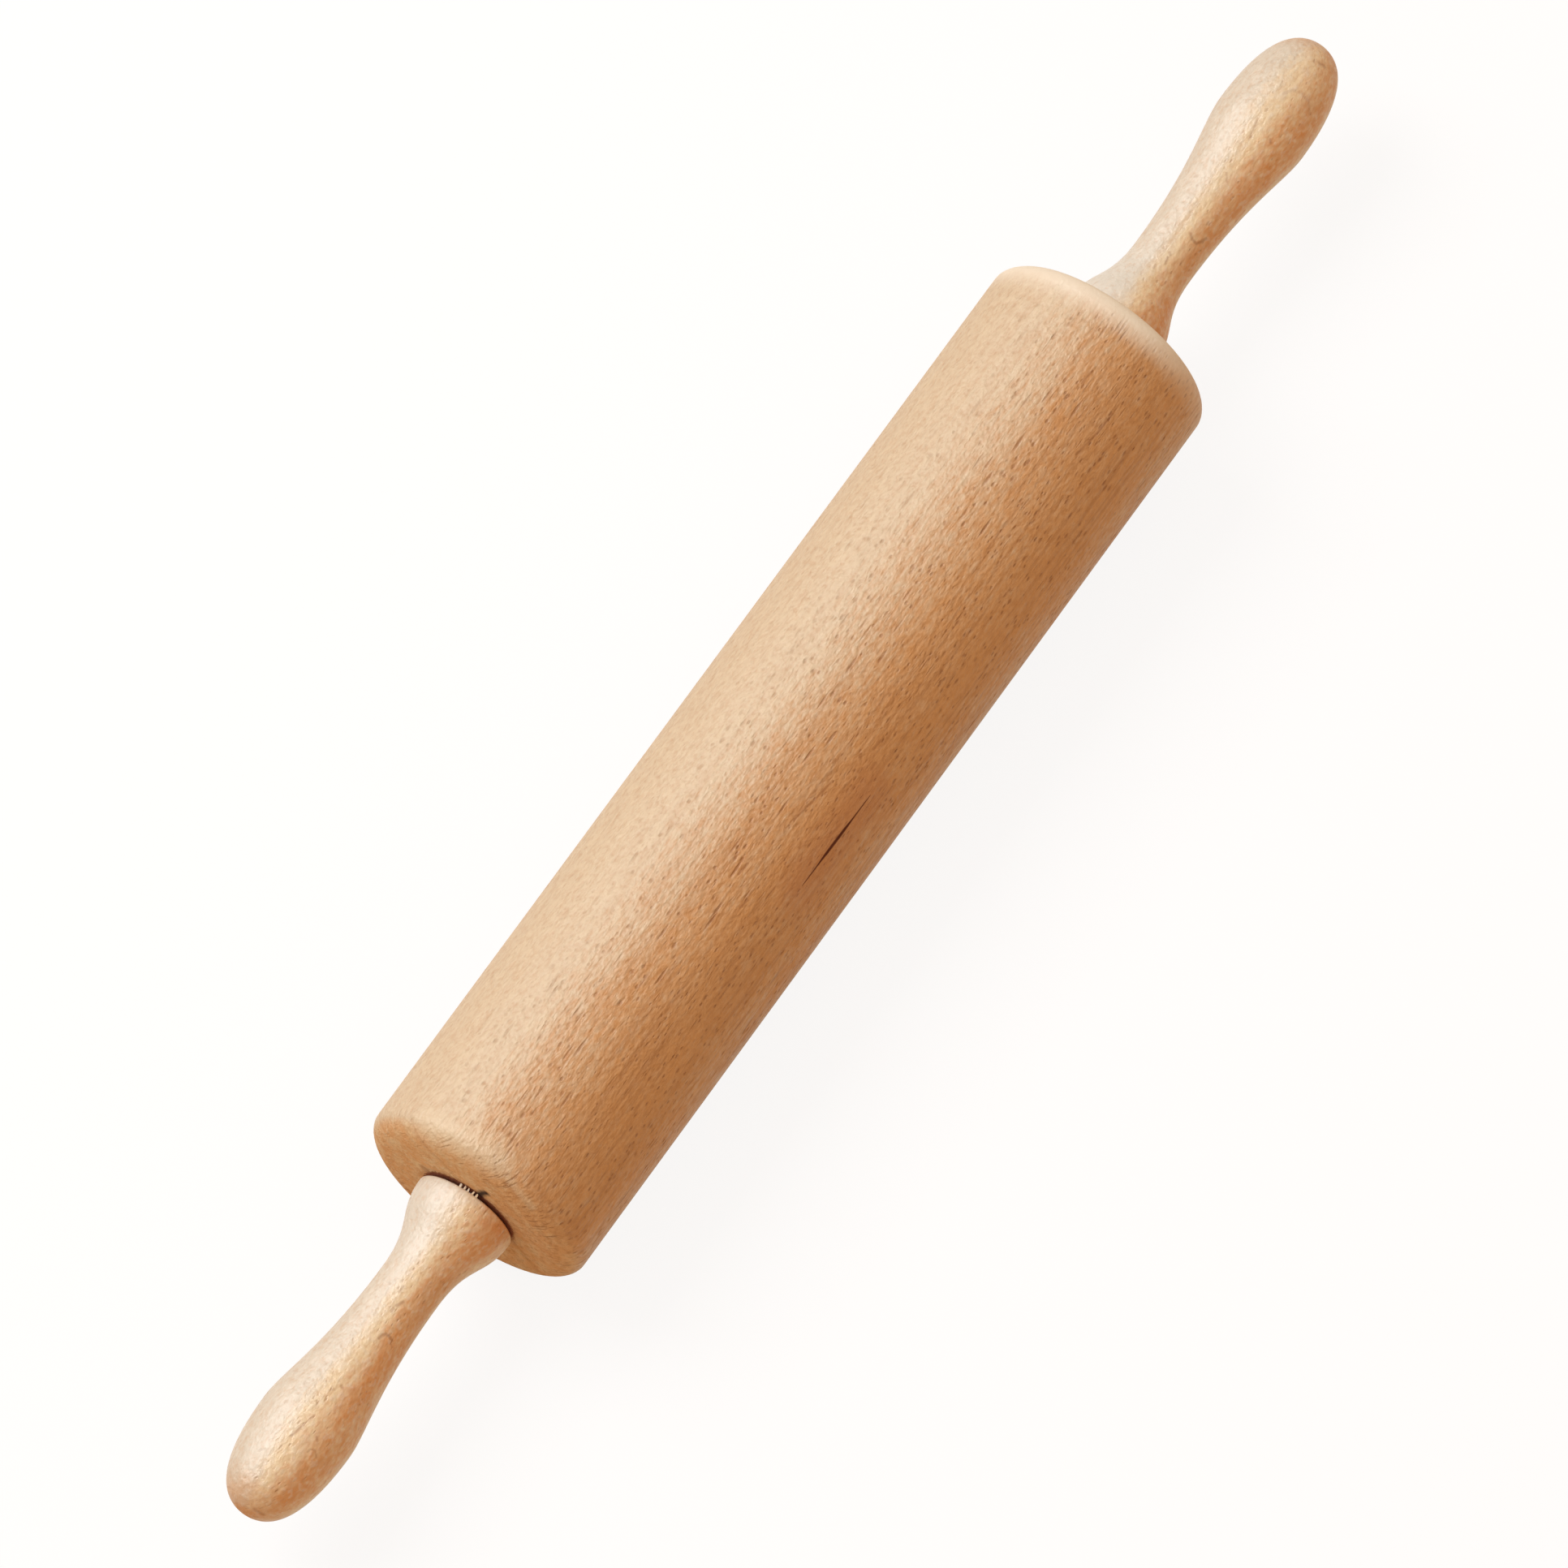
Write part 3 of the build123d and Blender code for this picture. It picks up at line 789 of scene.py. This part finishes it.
def dress_nodes():
    """Give every CAD node the material of its record slot."""
    by_slot = {slot: metal(kind) for slot, kind in METALS.items()}
    by_slot["cage_nylon"] = nylon()
    by_slot["barrel_wood"] = barrel_material()
    handles = {
        "left_handle": handle_material("left_handle", LEFT_HANDLE_LOOK, NEAR_HANDLE_MARKS),
        "right_handle": handle_material("right_handle", RIGHT_HANDLE_LOOK, FAR_HANDLE_MARKS),
    }
    for part in frame["record"]["subparts"]:
        node = part["node"]
        finish = handles.get(node) or by_slot[part["material_slot"]]
        for material_slot in frame["nodes"][node].material_slots:
            material_slot.material = finish


def add_object(name, data):
    """An object of the scene."""
    item = bpy.data.objects.new(name, data)
    bpy.context.scene.collection.objects.link(item)
    return item


def fibre_ring(shape, x, section, angle, half_width):
    """The four corners of a fibre at one place along it."""
    corners = []
    for reach, side in ((section.low, -1), (section.low, 1), (section.high, 1), (section.high, -1)):
        turn = angle + side * half_width * section.width / reach
        corners.append(shape.verts.new((x * MM, cos(turn) * reach * MM, sin(turn) * reach * MM)))
    return corners


def fibre_mesh(name, angle, half_width, length, lean):
    """A closed sliver that starts inside the handle's base and narrows to its tip."""
    shape = bmesh.new()
    rings = []
    for out, section in zip((TORN_ROOT, TORN_WAIST, length), TORN_SECTIONS):
        rings.append(fibre_ring(shape, HANDLE_BASE + out, section, angle + lean * section.lean, half_width))
    for lower, upper in zip(rings, rings[1:]):
        for j in range(len(lower)):
            k = (j + 1) % len(lower)
            shape.faces.new((lower[j], lower[k], upper[k], upper[j]))
    shape.faces.new(rings[0][::-1])
    shape.faces.new(rings[-1])
    bmesh.ops.recalc_face_normals(shape, faces=shape.faces)
    mesh = bpy.data.meshes.new(name)
    shape.to_mesh(mesh)
    shape.free()
    return mesh


def torn_fibres():
    """Short torn fibres on the near handle's base, standing in the gap clear of the barrel."""
    ends = [on_face(pixel, HANDLE_BASE) for pixel in TORN_PIXELS]
    first, last = (atan2(point.z, point.y) for point in ends)
    for i in range(TORN_COUNT):
        angle = first + (last - first) * i / (TORN_COUNT - 1)
        half_width = TORN_HALF_WIDTH + WIDTH_STRAY * cos(WIDTH_TURN * i)
        length = TORN_LENGTH + LENGTH_STRAY * sin(LENGTH_TURN * i)
        lean = LEAN_STRAY * sin(LEAN_TURN * i)
        mesh = fibre_mesh("torn_fibre_%d" % (i + 1), angle, half_width, length, lean)
        mesh.materials.append(bpy.data.materials["left_handle_beech"])
        fibre = add_object(mesh.name, mesh)
        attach(fibre, "handles_and_rod")


def make_camera():
    """The photograph's view."""
    data = bpy.data.cameras.new("camera")
    data.sensor_width = SENSOR_MM
    data.lens = SENSOR_MM * VIEW_DISTANCE / (IMAGE_SIDE * PIXEL)
    data.clip_start, data.clip_end = CLIP_NEAR, CLIP_FAR
    camera = add_object("camera", data)
    camera.matrix_world = Matrix.Translation(camera_place()) @ Matrix(view_axes()).transposed().to_4x4()
    bpy.context.scene.camera = camera


def soft_lamp(kind):
    """A rectangular soft lamp that faces the middle of the pin."""
    right, up, back = (axis * share for axis, share in zip(view_axes(), kind.direction))
    direction = (right + up + back).normalized()
    data = bpy.data.lights.new(kind.name, "AREA")
    data.shape = "RECTANGLE"
    data.size, data.size_y = kind.width, kind.height
    data.energy = kind.power
    lamp = add_object(kind.name, data)
    lamp.visible_camera = False
    lamp.location = direction * kind.distance
    lamp.rotation_mode = "QUATERNION"
    lamp.rotation_quaternion = direction.to_track_quat("Z", "Y")
    return lamp


def background_rays(tree):
    """1 for rays that see the background, straight, in a reflection or through something clear."""
    path = tree.nodes.new("ShaderNodeLightPath")
    total = path.outputs["Is Camera Ray"]
    for output in ("Is Glossy Ray", "Is Transmission Ray"):
        node = tree.nodes.new("ShaderNodeMath")
        node.operation = "MAXIMUM"
        tree.links.new(total, node.inputs[0])
        tree.links.new(path.outputs[output], node.inputs[1])
        total = node.outputs[0]
    return total


def plain_shader(tree, kind, **settings):
    """A shader with its sockets set."""
    node = tree.nodes.new(kind)
    for key, value in settings.items():
        node.inputs[key].default_value = value
    return node.outputs[0]


def mixed(tree, share, first, second):
    """Two shaders mixed by the share of the second."""
    node = tree.nodes.new("ShaderNodeMixShader")
    for socket, output in zip(node.inputs, (share, first, second)):
        tree.links.new(output, socket)
    return node.outputs[0]


def empty_tree(owner, output_kind):
    """The emptied node tree of a world or material, and the socket of its new output."""
    owner.use_nodes = True
    owner.node_tree.nodes.clear()
    output = owner.node_tree.nodes.new(output_kind)
    return owner.node_tree, output.inputs["Surface"]


def make_world():
    """A warm room for the light, seen as plain white."""
    world = bpy.data.worlds.new("studio")
    bpy.context.scene.world = world
    tree, surface = empty_tree(world, "ShaderNodeOutputWorld")
    room = plain_shader(tree, "ShaderNodeBackground", Color=ROOM_COLOUR, Strength=ROOM_STRENGTH)
    white = plain_shader(tree, "ShaderNodeBackground", Strength=WHITE_STRENGTH)
    tree.links.new(mixed(tree, background_rays(tree), room, white), surface)


def floor_material():
    """Pale and matt for the light, nearly white in the picture, and clear from below."""
    material = bpy.data.materials.new("pale_floor")
    tree, surface = empty_tree(material, "ShaderNodeOutputMaterial")
    matt = plain_shader(tree, "ShaderNodeBsdfDiffuse", Color=FLOOR_COLOUR)
    shadowed = plain_shader(tree, "ShaderNodeBsdfDiffuse", Color=FLOOR_SHADOW_COLOUR)
    glow = plain_shader(tree, "ShaderNodeEmission", Strength=FLOOR_GLOW)
    seen = tree.nodes.new("ShaderNodeAddShader")
    tree.links.new(shadowed, seen.inputs[0])
    tree.links.new(glow, seen.inputs[1])
    from_above = mixed(tree, background_rays(tree), matt, seen.outputs[0])
    clear = plain_shader(tree, "ShaderNodeBsdfTransparent", Color=CLEAR)
    below = tree.nodes.new("ShaderNodeNewGeometry").outputs["Backfacing"]
    tree.links.new(mixed(tree, below, from_above, clear), surface)
    return material


def make_floor():
    """A floor under the barrel that keeps a faint shadow."""
    mesh = bpy.data.meshes.new("floor")
    shape = bmesh.new()
    bmesh.ops.create_grid(shape, x_segments=1, y_segments=1, size=FLOOR_SIDE / 2)
    shape.to_mesh(mesh)
    shape.free()
    mesh.materials.append(floor_material())
    floor = add_object("floor", mesh)
    floor.location.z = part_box("barrel")[0].z


dress_nodes()
torn_fibres()
make_floor()
make_world()
soft_lamp(KEY)
# The gleam shows in reflections alone.
soft_lamp(GLEAM).visible_diffuse = False
make_camera()
bpy.context.scene.view_settings.view_transform = "Standard"
